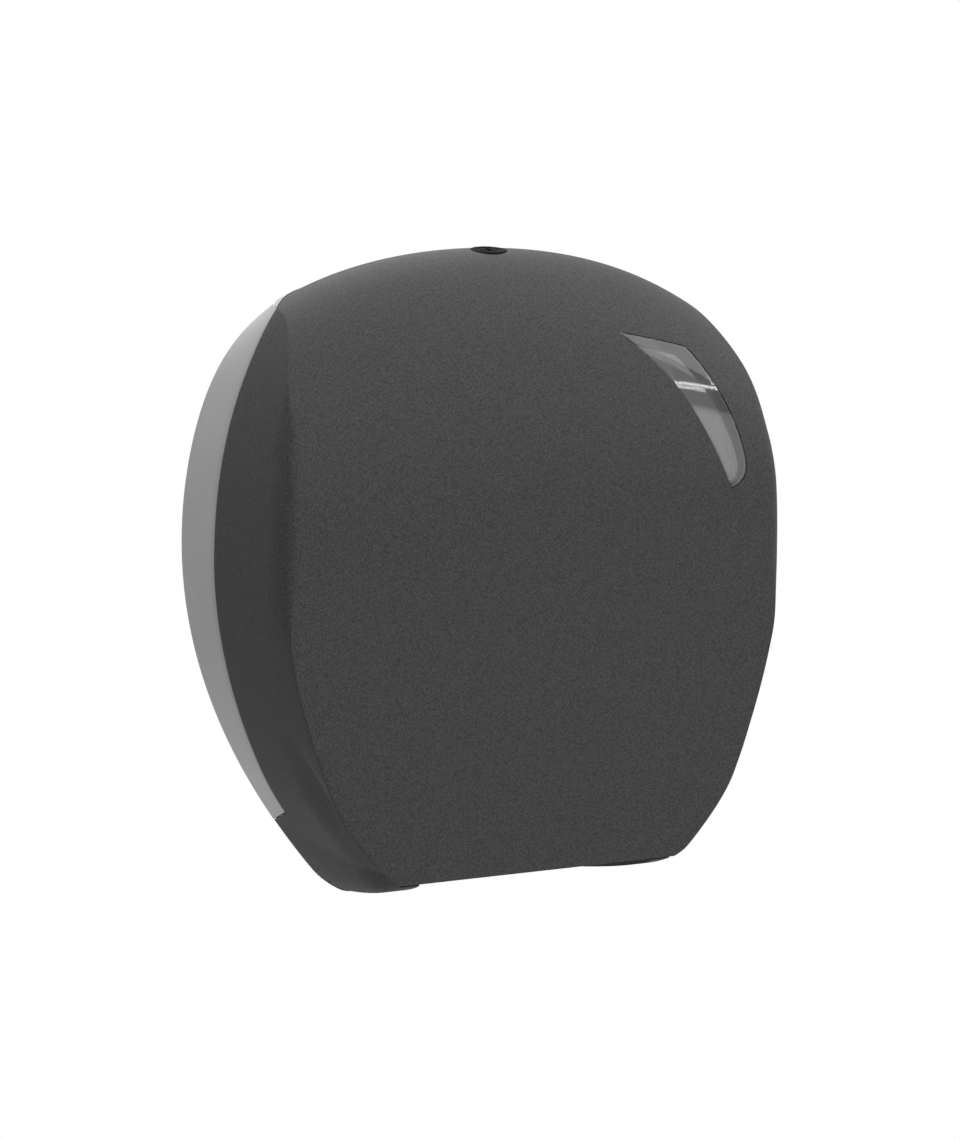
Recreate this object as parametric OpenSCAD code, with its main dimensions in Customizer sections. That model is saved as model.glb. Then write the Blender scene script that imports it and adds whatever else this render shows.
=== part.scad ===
// Jumbo toilet roll dispenser: wall shell, hinged cover, key lock and rotating roll holder.
// X runs to the right, +Z up, and the wall is the plane Y = 0 with the dispenser on its -Y side.
// "Depth" is the distance from the wall, so a point at depth d lies at Y = -d.

/* [Body outline] */
// Distance from the wall to the flat front face
depth = 131; // [122:1:140]
// Half width at the wall, at the widest level
wall_half_w = 163; // [156:1:172]
// Level of the widest point at the wall
wall_wide_z = 2; // [-4:1:8]
// Distance from the widest point at the wall in to the widest point of the front edge
front_inset = 20.4; // [18:0.2:25]
// Level of the widest point of the front edge
front_wide_z = 0; // [-5:1:5]
// Level of the crest of the roof
roof_z = 168; // [162:1:176]
// Distance from the wall to the crest of the roof
crest_d = 43; // [36:1:50]
// Drop of the roof from its crest to the wall
roof_sag = 5.5; // [3:0.5:8]
// Level at which the front face starts to roll back
roll_start_z = 38; // [28:1:48]
// Level of the straight lower edge of the front face
front_bottom_z = -163; // [-168:1:-158]
// Fall of the two feet's lower edges from the face to the wall
foot_drop = 39; // [36:1:41]

/* [Cover shell] */
// Wall of the cover
cover_wall = 3; // [2.4:0.1:3.6]
// Greatest distance from the wall to the rear edge of the cover's sides
side_reveal = 49.7; // [44:0.1:56]
// Gap between the cover and the pieces it closes on
cover_gap = 0.6; // [0.4:0.1:1]
// Depth of the undercut behind the front lip, low on each side
lip_undercut = 4; // [2:0.5:6]
// Distance from the widest point at the wall in to the opening between the feet
foot_inset = 95; // [91:1:96]

/* [Level window] */
// Thickness of the clear window
window_wall = 2.2; // [1.6:0.1:2.6]
// Gap around the window in its opening
window_gap = 0.35; // [0.2:0.05:0.6]
// Width of the ledge that carries the window inside the cover
window_ledge = 3; // [2:0.5:5]

/* [Back plate] */
// Thickness of the back plate
plate_wall = 3; // [2.4:0.1:4]
// Thickness of the light side walls
flank_wall = 1.8; // [1.4:0.1:2.4]
// Horizontal spacing of the wall holes
wall_hole_x = 170; // [150:1:190]
// Vertical spacing of the wall holes
wall_hole_z = 150; // [130:1:170]
// Diameter of the wall holes
wall_hole_d = 6; // [5:0.5:7]
// Height of the stiffening ribs on the plate
rib_h = 6; // [4:0.5:9]
// Thickness of the stiffening ribs
rib_wall = 2; // [1.4:0.1:2.6]

/* [Hinge] */
// Distance from the wall to the hinge axis
hinge_d = 14; // [13:0.5:15]
// Level of the hinge axis
hinge_z = -188.5; // [-190:0.5:-187]
// Diameter of the hinge pins
hinge_pin_d = 5; // [4:0.5:5.5]
// Radial running clearance of the hinge pins
hinge_play = 0.06; // [0.03:0.01:0.1]

/* [Roll holder] */
// Level of the roll's axis
roll_axis_z = -12; // [-18:1:-6]
// Outer diameter of the rotating hub that carries the core
hub_d = 56; // [50:1:58]
// Length of the rotating hub
hub_len = 84; // [74:1:88]
// Diameter of the fixed post inside the hub
post_d = 24; // [20:1:28]
// Radial running clearance of the hub on its post
hub_play = 0.08; // [0.04:0.01:0.1]

/* [Lock] */
// Distance from the wall to the lock
lock_d = 51; // [49:0.2:56]
// Diameter of the lock's visible rosette
rosette_d = 20; // [18:0.5:23]
// Diameter of the lock barrel
barrel_d = 15; // [13:0.5:16]
// Diameter of the turning plug
plug_d = 9; // [8:0.5:10]

/* [Hidden] */
$fn = 48;

light_grey = "#9aa0a6";
dark_grey = "#3d3d3e";
black = "#161617";
steel = "#b8bcc0";
clear_grey = [0.75, 0.78, 0.8, 0.35];

// ---------- outline of the body ----------

front_half_w = wall_half_w - front_inset;
bow_h = 100;               // the drops below are measured this far from the widest level
wall_drop = 20;            // narrowing of the outline at the wall
front_drop_low = 20.2;     // narrowing of the front edge below its widest level
front_drop_high = 12.6;    // and above it
front_power_low = 1.7;
front_power_high = 2.7;
shoulder_in = 18.5;        // extra narrowing at the top of the wall outline
shoulder_rise = 135;       // height over which the shoulder narrows
shoulder_share = 0.15;     // how much of it is left at this depth and forward
shoulder_d = 60;
arch_w = 100;              // the roof's two drops are measured this far from its middle
arch_drop = 17.5;
arch_drop_steep = 3.3;
chin_z = -120;             // where the front edge draws in to its lower corners
chin_in = 12.8;
chin_h = 42;
tip_z = 137;               // where the outline at the wall meets the roof
reveal_z = 40;             // level of the cover's greatest distance from the wall
reveal_drop = 5.2;         // shrinking of that distance, bow_h lower down
foot_top_z = -145;         // upper edge of the foot at the cover's rear edge
foot_back_z = -157;        // and at the wall
foot_step = 2.2;           // the feet start this far below the face and
foot_lip = 5;              // this far behind it
foot_least = 0.3;          // least height of a foot row
foot_front_d = depth - foot_lip;
foot_bow = 0.85;           // below 1, the lower edge falls faster near the face
foot_round_w = 9;          // rounding of the feet's lower corners, across
foot_round_h = 15;         // and up
foot_inner_x = wall_half_w - foot_inset;
wall_gap = 1.2;            // gap between the cover and the wall
tip_w = 1.5;

function mix(a, b, t) = a + (b - a) * t;
function clamp01(t) = max(0, min(1, t));
function smooth(t) = let (u = clamp01(t)) u * u * (3 - 2 * u);

// half width of the straight outline at the wall and at the front face
function wall_x(z) = wall_half_w - wall_drop * pow((z - wall_wide_z) / bow_h, 2);
function front_x(z) =
    front_half_w - chin_in * pow(clamp01((chin_z - z) / chin_h), 1.6)
    - (z < front_wide_z ? front_drop_low * pow((front_wide_z - z) / bow_h, front_power_low)
                        : front_drop_high * pow((z - front_wide_z) / bow_h, front_power_high));
// the shoulder narrows the top, most of all at the wall
function shoulder(z) = shoulder_in * pow(max(0, z - wall_wide_z) / shoulder_rise, 7);
function shoulder_at(d) = shoulder_share + (1 - shoulder_share) * pow(clamp01(1 - d / shoulder_d), 2);
// half width of the side at any depth
function side_x(d, z) = mix(wall_x(z), front_x(z), d / depth) - shoulder(z) * shoulder_at(d);
function arch(x) = arch_drop * pow(x / arch_w, 2) + arch_drop_steep * pow(x / arch_w, 4);
// distance of the cover's rear edge from the wall
function reveal(z) =
    z > reveal_z
    ? side_reveal * sqrt(max(0, 1 - pow((z - reveal_z) / (tip_z - reveal_z), 3)))
    : side_reveal - reveal_drop * pow((reveal_z - z) / bow_h, 2);
// lower edge of the feet
function foot_z(d) =
    front_bottom_z - foot_step
    - foot_drop * pow(max(0, foot_front_d - d) / foot_front_d, foot_bow);

// ---------- the cover as a grid of stations ----------

roof_rows = 4;      // from the wall to the crest
roll_rows = 14;     // from the crest to the flat face
face_rows = 12;     // down the flat face to the upper edge of the feet
chin_rows = 4;      // from there to the lower edge
foot_rows = 5;      // round the lower corner of a foot
side_cols = 6;      // from the rear edge to the corner
corner_cols = 5;    // round the corner
skin_cols = 8;      // from the corner to the middle
chin_first = roof_rows + roll_rows + face_rows;
skin_last = chin_first + chin_rows;
row_last = skin_last + foot_rows;
half_cols = side_cols + corner_cols + skin_cols;

// a point of the skin on row i at half width x, inset by t: [x, depth, z]
function roll_angle(i) = 90 * (1 - (i - roof_rows) / roll_rows);
function face_z(i) =
    i <= chin_first
    ? mix(roll_start_z, foot_top_z, (i - roof_rows - roll_rows) / face_rows)
    : mix(foot_top_z, front_bottom_z, 1 - pow(1 - (i - chin_first) / chin_rows, 1.5));
function skin(i, x, t) =
    i < roof_rows
    ? let (d = mix(wall_gap, crest_d, i / roof_rows))
      [x, d, roof_z - t - arch(x) - roof_sag * pow((crest_d - d) / crest_d, 2)]
    : i < roof_rows + roll_rows
    ? let (a = roll_angle(i))
      [x, crest_d + (depth - t - crest_d) * cos(a),
       roll_start_z + (roof_z - t - arch(x) - roll_start_z) * sin(a)]
    : [x, depth - t, face_z(i)];

// slope of the side in elevation, which keeps the wall's thickness square to it
function side_lean(d, z) = (side_x(d, z + 1) - side_x(d, z - 1)) / 2;
function inner_x(d, z, t) = side_x(d, z) - t * sqrt(1 + pow(side_lean(d, z), 2));

// half width at which the skin of row i meets the side
function corner_x(i, t, lo = 40, hi = 170, n = 24) =
    n == 0 ? (lo + hi) / 2
    : let (x = (lo + hi) / 2, p = skin(i, x, t))
      x > inner_x(p[1], p[2], t) ? corner_x(i, t, lo, x, n - 1) : corner_x(i, t, x, hi, n - 1);

// the corner is soft in the middle, crisp towards the top, and a bevel with a crisp edge below
soft_min = 0.08;
soft_z = 68;        // fully soft below this level
soft_fade = 40;     // height over which it turns crisp above
soft_side = 18;     // reach of the soft corner along the side
bevel_side = 30;    // reach of the bevel, lower down
soft_front = 7.7;   // reach along the face
crisp_front = 0.8;
bevel_z = [10, -40];
function softness(z) = mix(soft_min, 1, smooth((soft_z + soft_fade - z) / soft_fade));
function bevel(z) = smooth((bevel_z[0] - z) / (bevel_z[0] - bevel_z[1]));
// how far the lip stands off at level z
lip_z = [-60, -135];
function lip(z) = smooth((lip_z[0] - z) / (lip_z[0] - lip_z[1]));

// rear end of row i: [depth, z]
function rear_end(i) =
    i <= roof_rows + roll_rows
    ? let (u = i / (roof_rows + roll_rows), z = mix(tip_z - tip_w, roll_start_z, pow(u, 1.6)))
      [max(wall_gap, reveal(z)), z]
    : i <= chin_first
    ? [reveal(face_z(i)), face_z(i)]
    : foot_rear(mix(foot_back_z, foot_z(0) + foot_round_h, (i - chin_first - 1) / (chin_rows - 1)));
// the rear edge of the foot keeps clear of the wall as it turns about the hinge
foot_clear_r = hinge_d - wall_gap;
function foot_rear(z) =
    z > hinge_z ? [wall_gap, z]
    : [hinge_d - sqrt(max(0, pow(foot_clear_r, 2) - pow(z - hinge_z, 2))), z];

// one half row of the cover, from the rear edge to the middle, inset by t
function side_point(d, z, t) = [inner_x(d, z, t + cover_inset(d, z)), d, z];
// the hollow behind the lip
hollow_d = 46;      // it starts this far behind the face
hollow_run = 40;
function cover_inset(d, z) = lip_undercut * lip(z) * smooth((d - depth + hollow_d) / hollow_run);
function bezier(a, b, c, t) = (1 - t) * (1 - t) * a + 2 * t * (1 - t) * b + t * t * c;
lip_wall = 3.6;     // thickness of the lip
lip_turn = 1.6;     // the corner's first point lies this far behind the lip
function skin_half_row(i, t) =
    let (e = rear_end(i), x0 = corner_x(i, t), z = skin(i, x0, t)[2],
         s = softness(z), l = lip(z), v = bevel(z),
         // the lip is solid: the inner surface turns the corner behind it
         xc = x0 - (t > 0 ? lip_undercut * l : 0), c = skin(i, xc, t),
         reach = mix(mix(soft_side, bevel_side, v) * s, lip_wall + lip_turn, l),
         da = c[1] - reach * min(1, (c[1] - e[0]) / bevel_side + 0.05),
         za = mix(e[1], z, clamp01((da - e[0]) / max(1, c[1] - e[0]))),
         a = side_point(da, za, t),
         b = skin(i, xc - max(mix(soft_front, crisp_front, v) * s, crisp_front), t),
         w = t > 0 ? 0 : smooth((l - 0.3) / 0.4),
         rows = [for (k = [0 : side_cols])
                    let (u = k / side_cols, d = mix(e[0], da, u), zz = mix(e[1], za, u))
                    side_point(d, zz, t)],
         round_c = [for (k = [1 : corner_cols]) bezier(a, c, b, k / corner_cols)],
         lip_c = [[a[0] + 0.1, da + 0.5, za],
                  [mix(a[0], c[0], 0.5) - 0.2, c[1] - lip_wall + 0.2, z],
                  [c[0] - 0.4, c[1] - lip_wall + 0.6, z],
                  [c[0], c[1] - 0.9, z],
                  b])
    concat(rows,
           [for (k = [0 : corner_cols - 1]) mix(round_c[k], lip_c[k], w)],
           [for (k = [1 : skin_cols]) skin(i, b[0] * (1 - k / skin_cols), t)]);
// a foot row j (1 to foot_rows) rounds the side under and then runs in to the foot's inner edge;
// the rounding shrinks with the height that is left above the foot's lower edge
function foot_half_row(j, t) =
    let (w = min(1, j / (foot_rows - 1)), last = skin_half_row(skin_last, t))
    concat([for (k = [0 : side_cols])
        let (p = last[k], d = max(p[1], foot_rear(mix(p[2], foot_z(p[1]), w))[0]),
             fall = max(foot_least, p[2] - foot_z(d) - t), z = p[2] - w * fall,
             x = p[0] + side_x(d, z) - side_x(p[1], p[2])
                 - foot_round_w * fall / foot_round_h * (1 - sqrt(1 - w * w)))
        [j == foot_rows ? foot_inner_x : x, d, z]],
        [for (k = [1 : half_cols - side_cols]) [0, foot_front_d, front_bottom_z]]);
function half_row(i, t) = i <= skin_last ? skin_half_row(i, t) : foot_half_row(i - skin_last, t);
function full_row(h) =
    let (n = len(h))
    concat([for (p = h) [-p[0], -p[1], p[2]]],
           [for (k = [n - 2 : -1 : 0]) [h[k][0], -h[k][1], h[k][2]]]);
full_cols = 2 * half_cols;
// a cell exists where its four corners belong to the shell
function has_cell(i, j) =
    i >= 0 && i < row_last && j >= 0 && j < full_cols
    && (i < skin_last || j < side_cols || j >= full_cols - side_cols);

// closed shell between the outer and the inner grid
module cover_shell() {
    rows_out = [for (i = [0 : row_last]) full_row(half_row(i, 0))];
    rows_in = [for (i = [0 : row_last]) full_row(half_row(i, cover_wall))];
    n = full_cols + 1;
    m = n * (row_last + 1);
    function at(i, j, side) = side * m + i * n + j;
    function quad(a, b, c, d) = [[a, b, c], [a, c, d]];
    cells = [for (i = [0 : row_last - 1]) for (j = [0 : full_cols - 1]) if (has_cell(i, j)) [i, j]];
    faces = concat(
        [for (c = cells) for (f = quad(at(c[0], c[1], 0), at(c[0], c[1] + 1, 0),
                                       at(c[0] + 1, c[1] + 1, 0), at(c[0] + 1, c[1], 0))) f],
        [for (c = cells) for (f = quad(at(c[0], c[1], 1), at(c[0] + 1, c[1], 1),
                                       at(c[0] + 1, c[1] + 1, 1), at(c[0], c[1] + 1, 1))) f],
        [for (c = cells)
         for (e = [[-1, 0, 0, 0, 0, 1], [1, 0, 1, 1, 1, 0], [0, -1, 1, 0, 0, 0], [0, 1, 0, 1, 1, 1]])
            if (!has_cell(c[0] + e[0], c[1] + e[1]))
            for (f = quad(at(c[0] + e[2], c[1] + e[3], 1), at(c[0] + e[4], c[1] + e[5], 1),
                          at(c[0] + e[4], c[1] + e[5], 0), at(c[0] + e[2], c[1] + e[3], 0))) f]);
    polyhedron(points = [for (r = concat(rows_out, rows_in)) for (p = r) p], faces = faces, convexity = 8);
}

// ---------- crescent window ----------

window_tip = [53, 125.3];       // upper tip
window_corner = [93.9, 116.1];  // corner of the upper and outer edges
window_low = [120.1, 54.2];     // where the outer edge starts to round
window_foot = [110.4, 40.2];    // lower tip
window_mid = [85.5, 91.6];      // the inner edge bows more above this point than below
window_d = [80, depth + 5];     // depths between which the opening is cut
bow_upper = 0.4;
bow_outer = 4.5;
bow_round = 3.1;
bow_inner_low = 1.3;
bow_inner_high = 1.75;

// points of an arc from a to b that bows by h to the left of the way
function bowed(a, b, h, n) =
    let (v = b - a, len = norm(v), r = (len * len / 4 + h * h) / (2 * abs(h)), s = sign(h),
         m = (a + b) / 2, u = [-v[1], v[0]] / len, c = m - u * s * (r - abs(h)),
         half = asin(len / 2 / r), a0 = atan2(s * u[1], s * u[0]))
    [for (k = [0 : n]) let (a = a0 + s * half * (1 - 2 * k / n)) c + r * [cos(a), sin(a)]];
module window_outline(grow = 0) {
    offset(delta = grow)
    polygon(concat(bowed(window_tip, window_corner, bow_upper, 3),
                   bowed(window_corner, window_low, bow_outer, 9),
                   bowed(window_low, window_foot, bow_round, 6),
                   bowed(window_foot, window_mid, -bow_inner_low, 5),
                   bowed(window_mid, window_tip, -bow_inner_high, 9)));
}
// the outline carried through the front of the cover
module window_prism(grow) {
    slab(window_d[0], window_d[1]) window_outline(grow);
}
// the skin between two insets, over the part of the face that holds the window
patch_x = [40, 132];
patch_rows = 14;
patch_cols = 12;
patch_flat = 3;      // rows on the flat face
module skin_patch(t_out, t_in) {
    n = patch_cols + 1;
    m = n * (patch_rows + 1);
    first = roof_rows + roll_rows / 3;
    function row_of(k) =
        k <= patch_rows - patch_flat
        ? mix(first, roof_rows + roll_rows, k / (patch_rows - patch_flat))
        : roof_rows + roll_rows + (k - patch_rows + patch_flat) / 2;
    function p(k, j, t) =
        let (s = skin(row_of(k), mix(patch_x[0], patch_x[1], j / patch_cols), t)) [s[0], -s[1], s[2]];
    function at(k, j, side) = side * m + k * n + j;
    function quad(a, b, c, d) = [[a, b, c], [a, c, d]];
    pts = [for (t = [t_out, t_in]) for (k = [0 : patch_rows]) for (j = [0 : patch_cols]) p(k, j, t)];
    skins = [for (k = [0 : patch_rows - 1]) for (j = [0 : patch_cols - 1])
        for (f = concat(quad(at(k, j, 0), at(k, j + 1, 0), at(k + 1, j + 1, 0), at(k + 1, j, 0)),
                        quad(at(k, j, 1), at(k + 1, j, 1), at(k + 1, j + 1, 1), at(k, j + 1, 1)))) f];
    ends = [for (k = [0, patch_rows]) for (j = [0 : patch_cols - 1])
        let (u = k == 0 ? j : j + 1, v = k == 0 ? j + 1 : j)
        for (f = quad(at(k, u, 0), at(k, u, 1), at(k, v, 1), at(k, v, 0))) f];
    flanks = [for (j = [0, patch_cols]) for (k = [0 : patch_rows - 1])
        let (u = j == 0 ? k + 1 : k, v = j == 0 ? k : k + 1)
        for (f = quad(at(u, j, 0), at(u, j, 1), at(v, j, 1), at(v, j, 0))) f];
    polyhedron(points = pts, faces = concat(skins, ends, flanks), convexity = 4);
}

// ---------- lock, square to the roof ----------

lock_t = (lock_d - crest_d) / (depth - crest_d);
lock_z = roll_start_z + (roof_z - roll_start_z) * sqrt(1 - lock_t * lock_t);
// forward tilt of the roof at the lock
lock_tilt = atan((roof_z - roll_start_z) / (depth - crest_d) * lock_t / sqrt(1 - lock_t * lock_t));
rosette_h = 1.4;        // the rosette stands on the roof
rosette_gap = 0.2;      // round the rosette in its seat
barrel_len = 20;        // from the roof down
lock_fit = 0.25;        // barrel in its hole
nut_h = 5;
cam_t = 2.5;
cam_reach = 22;
plug_play = 0.05;
// puts its children at the lock, +Z outwards through the roof
module at_lock() {
    translate([0, -lock_d, lock_z]) rotate([lock_tilt, 0, 0]) children();
}

module front_cover() {
    color(dark_grey) difference() {
        union() {
            cover_shell();
            for (s = [-1, 1]) hinge_boss(s);
            tear_bar_bosses();
            // flat pad under the roof for the lock's nut
            at_lock() translate([0, 0, lock_pad_z]) cylinder(r = lock_pad_r, h = -lock_pad_z - 2.2);
        }
        window_prism(0);
        at_lock() translate([0, 0, -15]) cylinder(d = barrel_d + 2 * lock_fit, h = 30);
        at_lock() translate([0, 0, -seat_sink]) cylinder(d = rosette_d + 2 * rosette_gap, h = 10);
        tear_bar_at() translate([0, 0, bar_d - 1]) cylinder(r = bar_screw_r - 0.15, h = bar_stand + 2);
    }
}
module level_window() {
    color(clear_grey) union() {
        intersection() {
            skin_patch(0, cover_wall + window_gap + 0.5);
            window_prism(-window_gap);
        }
        intersection() {
            skin_patch(cover_wall + window_gap, cover_wall + window_gap + window_wall);
            window_prism(window_ledge);
        }
    }
}

// ---------- hinge ----------

hinge_boss_r = 5.5;
hinge_boss_x = foot_inner_x;                       // inner end of the cover's bosses
ear_gap = 2.5;
ear_x = [foot_inner_x - 10, foot_inner_x - ear_gap];    // the plate's ears
ear_r = 6.5;
function hinge_wall_x() = inner_x(hinge_d, hinge_z, cover_wall);
pin_seat = 12;           // how deep the pin sits in the boss
pin_head_d = 8;
pin_head_t = 1.5;
module along_x(x0, x1, r) {
    translate([x0, -hinge_d, hinge_z]) rotate([0, 90, 0]) cylinder(r = r, h = x1 - x0);
}
module hinge_boss(s) {
    scale([s, 1, 1]) difference() {
        union() {
            along_x(hinge_boss_x, hinge_wall_x() - 0.4, hinge_boss_r);
            // web from the boss up the inner wall
            translate([hinge_boss_x + 2, -hinge_d - 1.5, hinge_z])
                cube([hinge_wall_x() - hinge_boss_x, 3, hinge_boss_r + 4]);
        }
        along_x(hinge_boss_x - 1, hinge_boss_x + pin_seat + 0.5, hinge_pin_d / 2 + 0.02);
    }
}
module hinge_pin() {
    color(steel) {
        along_x(ear_x[0] - 1, hinge_boss_x + pin_seat, hinge_pin_d / 2);
        along_x(ear_x[0] - 1 - pin_head_t, ear_x[0] - 1, pin_head_d / 2);
    }
}
module hinge_pin_right() { hinge_pin(); }
module hinge_pin_left() { mirror([1, 0, 0]) hinge_pin(); }

// ---------- fixed shell ----------

flank_seat = 0.2;
flank_land = 8;          // flange that lies on the plate
tuck = 5;                // how far the flank runs on under the cover
plate_inset = flank_wall + 0.5;
plate_low_x = foot_inner_x - 2;   // half width of the plate between the feet
plate_low_z = hinge_z - ear_r + 1;
plate_neck_z = -160;
plate_steps = 30;
plate_top_z = tip_z - 4;
plate_foot_in = 4;       // extra room beside the feet
function side_q(z) = sqrt(1 + pow(side_lean(0, z), 2));
function plate_edge() = concat(
    [for (k = [0 : plate_steps])
        let (z = mix(plate_top_z, plate_neck_z + 4, k / plate_steps))
        [side_x(0, z) - plate_inset * side_q(z) - (z < foot_back_z + 4 ? plate_foot_in : 0), z]],
    [[plate_low_x + 12, plate_neck_z - 6],
     [plate_low_x, plate_neck_z - 18],
     [plate_low_x, plate_low_z]]);
roof_gap = 1.2;
function roof_edge() =
    [for (k = [1 : 7])
        let (x = mix(side_x(0, plate_top_z) - plate_inset * side_q(plate_top_z), 0, k / 7))
        [x, roof_z - roof_sag - arch(x) - cover_wall - roof_gap]];
module plate_outline() {
    right = plate_edge();
    top = roof_edge();
    polygon(concat([for (p = right) p],
                   [for (k = [len(right) - 1 : -1 : 0]) [-right[k][0], right[k][1]]],
                   [for (k = [0 : len(top) - 2]) [-top[k][0], top[k][1]]],
                   [for (k = [len(top) - 1 : -1 : 0]) top[k]]));
}
// turns a drawing in X and Z into a slab from depth d0 to d1
module slab(d0, d1) {
    translate([0, -d0, 0]) rotate([90, 0, 0]) linear_extrude(d1 - d0) children();
}
wall_boss_d = 16;
wall_boss_h = 5;
post_flange_d = 74;
post_flange_t = 5;
post_screw_pcd = 56;
post_screw_d = 4;
module wall_holes_at() {
    for (sx = [-1, 1]) for (sz = [-1, 1])
        translate([sx * wall_hole_x / 2, 0, sz * wall_hole_z / 2]) rotate([90, 0, 0]) children();
}
module back_plate() {
    color(light_grey) difference() {
        union() {
            slab(0, plate_wall) plate_outline();
            // bosses round the wall holes
            wall_holes_at() cylinder(d = wall_boss_d, h = wall_boss_h);
            // ring and ribs that carry the roll holder
            translate([0, 0, roll_axis_z]) plate_web();
            // ears of the hinge
            for (s = [-1, 1]) scale([s, 1, 1]) hinge_ear();
        }
        wall_holes_at() translate([0, 0, -1]) cylinder(d = wall_hole_d, h = wall_boss_h + 2);
        strike_screws_at() translate([0, 0, -1]) cylinder(r = strike_screw_r - 0.3, h = plate_wall + 2);
        post_screws_at() translate([0, 0, -1]) cylinder(r = screw_core_r, h = plate_wall + 2);
        for (s = [-1, 1]) scale([s, 1, 1])
            along_x(ear_x[0] - 1, ear_x[1] + 1, hinge_pin_d / 2 + hinge_play);
    }
}
module hinge_ear() {
    along_x(ear_x[0], ear_x[1], ear_r);
    translate([ear_x[0], -hinge_d, hinge_z - ear_r])
        cube([ear_x[1] - ear_x[0], hinge_d - plate_wall + 0.5, 2 * ear_r]);
}

// ring and ribs that carry the roll holder
post_ring_w = 5;
ring_fit = 0.5;
rib_len = 60;
module plate_web() {
    slab(plate_wall - 0.5, plate_wall + rib_h) difference() {
        union() {
            circle(d = post_flange_d + 2 * ring_fit + 2 * post_ring_w);
            for (a = [0 : 60 : 300]) rotate(a) translate([post_flange_d / 2 + 1, -rib_wall / 2])
                square([post_ring_w + rib_len, rib_wall]);
        }
        circle(d = post_flange_d + 2 * ring_fit);
    }
}

// light side wall: a run of sections up the side, seated on the plate
flank_low_z = foot_back_z + 0.45;
flank_high_z = tip_z - 6.2;
flank_steps = 24;
flank_slope = 0.387;     // the lower end follows the upper edge of the cover's foot
flank_slope_z = [-110, -154];
land_z = [-120, -130];   // the land on the plate ends between these levels
step_gap = 0.4;          // under the cover's wall
step_run = [2, 5];       // the inside comes back to the flank's own wall over this run
least_reach = 7;
land_end = plate_wall + 2.2;
function land(z) = flank_wall + flank_land * (1 - smooth((land_z[0] - z) / (land_z[0] - land_z[1])));
function flank_section(u) =
    let (z0 = mix(flank_high_z, flank_low_z, u),
         k = flank_slope * smooth((flank_slope_z[0] - z0) / (flank_slope_z[0] - flank_slope_z[1])),
         db = max(least_reach, reveal(z0 + k * 30) - cover_gap),
         step = cover_wall + step_gap + flank_wall,
         back = plate_wall + flank_seat,
         q = sqrt(1 + pow(side_lean(0, z0), 2)))
    [for (p = [[0, 0], [db, 0],
               [db, step - flank_wall], [db + tuck, step - flank_wall], [db + tuck, step],
               [max(land_end + 0.4, db - step_run[0]), step],
               [max(land_end + 0.2, db - step_run[1]), flank_wall],
               [land_end, flank_wall], [land_end, land(z0) + 0.01],
               [back, land(z0)], [back, flank_wall], [0, flank_wall]])
        let (z = z0 + k * p[0]) [side_x(p[0], z) - p[1] * q, -p[0], z]];
module flank() {
    n = 12;
    pts = [for (i = [0 : flank_steps]) for (p = flank_section(i / flank_steps)) p];
    sides = [for (i = [0 : flank_steps - 1]) for (j = [0 : n - 1])
        let (a = i * n + j, b = i * n + (j + 1) % n) for (f = [[a, b + n, b], [a, a + n, b + n]]) f];
    polyhedron(points = pts, faces = concat(sides, [[for (j = [0 : n - 1]) j]],
               [[for (j = [n - 1 : -1 : 0]) flank_steps * n + j]]), convexity = 6);
}
module right_flank() { color(light_grey) flank(); }
module left_flank() { color(light_grey) mirror([1, 0, 0]) flank(); }

// ---------- roll holder, built along -Y from the wall ----------

screw_core_r = post_screw_d / 2 - 0.4;   // tapped hole
screw_fit = 0.02;
screw_clear = 0.2;
module screw(head_r, head_h, shank_r, shank_len) {
    cylinder(r = head_r, h = head_h);
    translate([0, 0, -shank_len]) cylinder(r = shank_r, h = shank_len + 0.01);
}
// puts its children at depth d on the roll axis, +Z away from the wall
module on_axis(d) {
    translate([0, -d, roll_axis_z]) rotate([90, 0, 0]) children();
}
module post_screws_at() {
    for (a = [45 : 90 : 315]) on_axis(0) rotate([0, 0, a]) translate([post_screw_pcd / 2, 0, 0]) children();
}
post_head_r = 3.8;
post_head_h = 2.4;
post_head_sink = 0.4;    // below the front of the flange
post_root = plate_wall + post_flange_t;          // front of the post's flange
brake_t = 2;
brake_play = 0.2;
hub_root = post_root + brake_t + 2 * brake_play;
hub_end = hub_root + hub_len;
post_end = hub_end + 0.3;
post_r = post_d / 2;
hub_flange_r = 44;
hub_flange_t = 2.4;
hub_shell = 2.6;
hub_sleeve = 3;
end_screw_r = 2.5;
end_screw_len = 18;
washer_t = 1.5;
washer_r = post_r + hub_sleeve + 1;
module spindle_post() {
    color(black) difference() {
        union() {
            on_axis(plate_wall) cylinder(d = post_flange_d, h = post_flange_t);
            on_axis(plate_wall) cylinder(r = post_r, h = post_end - plate_wall);
        }
        post_screws_at() {
            translate([0, 0, plate_wall - 1])
                cylinder(r = post_screw_d / 2 + screw_clear, h = post_flange_t + 2);
            translate([0, 0, post_root - post_head_h - post_head_sink])
                cylinder(r = post_head_r + screw_clear, h = post_flange_t);
        }
        // the post is moulded hollow from the wall side
        on_axis(plate_wall - 1) cylinder(r = post_r - 3.5, h = post_end - plate_wall - end_screw_len - 6);
        on_axis(post_end - end_screw_len - 1) cylinder(r = end_screw_r - 0.3, h = end_screw_len + 2);
    }
}
module spindle_screws() {
    seat = post_root - post_head_h - post_head_sink;
    color(steel) post_screws_at() translate([0, 0, seat])
        screw(post_head_r, post_head_h, screw_core_r - screw_fit, seat - 0.6);
}
module brake_washer() {
    color("#7c7468") on_axis(post_root + brake_play) difference() {
        cylinder(r = post_r + 13, h = brake_t);
        translate([0, 0, -1]) cylinder(r = post_r + 0.4, h = brake_t + 2);
    }
}
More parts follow.
